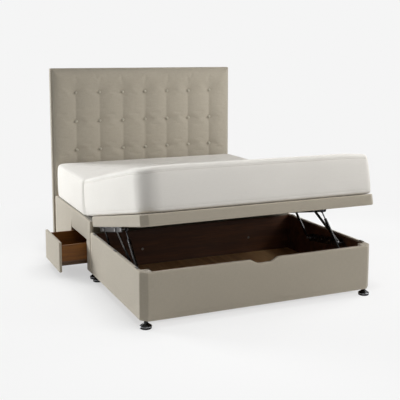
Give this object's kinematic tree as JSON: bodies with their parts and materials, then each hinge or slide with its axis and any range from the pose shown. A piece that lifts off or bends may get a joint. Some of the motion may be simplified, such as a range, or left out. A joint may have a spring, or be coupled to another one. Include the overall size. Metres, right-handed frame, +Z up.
{
  "type": "ottoman divan bed",
  "caption": "Divan bed with a lifting foot half over a storage well, side drawers at the head, a tall buttoned headboard and a mattress that bends with the lid.",
  "frame": {"origin": "on the floor under the middle of the headboard's bottom edge", "axes": "+X across the bed to its right side seen from the foot, +Y towards the head, +Z up"},
  "size_m": [1.692, 2.122, 1.37],
  "materials": {
    "base_fabric": "matte",
    "headboard_fabric": "matte",
    "mattress_fabric": "matte",
    "felt": "matte",
    "frame_wood": "matte",
    "lining_wood": "satin",
    "drawer_wood": "satin",
    "black_steel": "satin",
    "rail_steel": "satin",
    "runner_steel": "satin",
    "zinc": "satin",
    "bright_rod": "polished",
    "roller_nylon": "satin",
    "glide_black": "satin",
    "glide_chrome": "polished"
  },
  "bodies": {
    "base": {"base_pivot_bolts": "zinc", "base_pivot_spacers": "zinc", "drawer_bay_spine": "frame_wood", "drawer_bay_walls": "frame_wood", "fixed_runner_rollers": "roller_nylon", "fixed_runners": "runner_steel", "foot_corner_posts": "base_fabric", "foot_floor_bearers": "frame_wood", "foot_floor_board": "frame_wood", "foot_front_panel": "base_fabric", "foot_rear_panel": "frame_wood", "foot_side_panel_left": "base_fabric", "foot_side_panel_right": "base_fabric", "glide_pads": "glide_black", "glide_stems": "glide_chrome", "head_corner_blocks": "frame_wood", "head_deck_board": "frame_wood", "head_front_panel": "frame_wood", "head_rear_panel": "frame_wood", "head_side_panel_left": "base_fabric", "head_side_panel_right": "base_fabric", "headboard_bolts": "zinc", "headboard_buttons": "headboard_fabric", "headboard_frame": "frame_wood", "headboard_pad": "headboard_fabric", "headboard_spacers": "frame_wood", "lid_buffers": "felt", "linking_bolts": "zinc", "mattress_head": "mattress_fabric", "mechanism_plates": "black_steel", "plate_screws": "zinc", "storage_liner_ends": "lining_wood", "storage_liner_sides": "lining_wood"},
    "lid": {"lid_front_rail": "base_fabric", "lid_side_rails": "base_fabric", "lid_rear_rail": "base_fabric", "lid_deck_board": "frame_wood", "lid_slats": "frame_wood", "upper_rails": "rail_steel", "rail_screws": "zinc", "lid_pivot_studs": "zinc", "mattress_foot": "mattress_fabric"},
    "rear_link_left": {"rear_link_left": "black_steel"},
    "front_link_left": {"front_link_left": "black_steel"},
    "strut_cylinder_left": {"strut_cylinder_left": "black_steel"},
    "strut_rod_left": {"strut_rod_left": "bright_rod"},
    "drawer_left": {"drawer_front_left": "base_fabric", "drawer_box_left": "drawer_wood", "drawer_bottom_left": "drawer_wood", "drawer_runners_left": "runner_steel", "drawer_rollers_left": "roller_nylon"},
    "rear_link_right": {"rear_link_right": "black_steel"},
    "front_link_right": {"front_link_right": "black_steel"},
    "strut_cylinder_right": {"strut_cylinder_right": "black_steel"},
    "strut_rod_right": {"strut_rod_right": "bright_rod"},
    "drawer_right": {"drawer_front_right": "base_fabric", "drawer_box_right": "drawer_wood", "drawer_bottom_right": "drawer_wood", "drawer_runners_right": "runner_steel", "drawer_rollers_right": "roller_nylon"}
  },
  "joints": [
    {"name": "lid_lift", "type": "hinge", "parent": "base", "child": "lid", "pos_m": [0, -0.862, 0.579], "axis": [-1, 0, 0], "range_deg": [-12, 0]},
    {"name": "rear_link_left_turn", "type": "hinge", "parent": "base", "child": "rear_link_left", "pos_m": [-0.7005, -1.3935, 0.2186], "axis": [1, 0, 0], "range_deg": [-21.6, 0]},
    {"name": "front_link_left_turn", "type": "hinge", "parent": "base", "child": "front_link_left", "pos_m": [-0.7005, -1.7658, 0.27], "axis": [1, 0, 0], "range_deg": [-22.2, 0]},
    {"name": "strut_left_turn", "type": "hinge", "parent": "base", "child": "strut_cylinder_left", "pos_m": [-0.679, -1.8325, 0.208], "axis": [1, 0, 0], "range_deg": [-25.9, 0]},
    {"name": "strut_left_stroke", "type": "slide", "parent": "strut_cylinder_left", "child": "strut_rod_left", "axis": [0, 0.713, 0.7011], "range_m": [-0.0426, 0]},
    {"name": "rear_link_right_turn", "type": "hinge", "parent": "base", "child": "rear_link_right", "pos_m": [0.7005, -1.3935, 0.2186], "axis": [1, 0, 0], "range_deg": [-21.6, 0]},
    {"name": "front_link_right_turn", "type": "hinge", "parent": "base", "child": "front_link_right", "pos_m": [0.7005, -1.7658, 0.27], "axis": [1, 0, 0], "range_deg": [-22.2, 0]},
    {"name": "strut_right_turn", "type": "hinge", "parent": "base", "child": "strut_cylinder_right", "pos_m": [0.679, -1.8325, 0.208], "axis": [1, 0, 0], "range_deg": [-25.9, 0]},
    {"name": "strut_right_stroke", "type": "slide", "parent": "strut_cylinder_right", "child": "strut_rod_right", "axis": [0, 0.713, 0.7011], "range_m": [-0.0426, 0]},
    {"name": "drawer_left_slide", "type": "slide", "parent": "base", "child": "drawer_left", "axis": [-1, 0, 0], "range_m": [-0.187, 0.233]},
    {"name": "drawer_right_slide", "type": "slide", "parent": "base", "child": "drawer_right", "axis": [1, 0, 0], "range_m": [0, 0.42]}
  ],
  "couplings": [
    {"joint": "rear_link_left_turn", "follows": "lid_lift", "ratio": 1.7952},
    {"joint": "front_link_left_turn", "follows": "lid_lift", "ratio": 1.843},
    {"joint": "strut_left_turn", "follows": "lid_lift", "ratio": 2.1544},
    {"joint": "strut_left_stroke", "follows": "lid_lift", "m_per_rad": 0.203},
    {"joint": "rear_link_right_turn", "follows": "lid_lift", "ratio": 1.7952},
    {"joint": "front_link_right_turn", "follows": "lid_lift", "ratio": 1.843},
    {"joint": "strut_right_turn", "follows": "lid_lift", "ratio": 2.1544},
    {"joint": "strut_right_stroke", "follows": "lid_lift", "m_per_rad": 0.203}
  ]
}
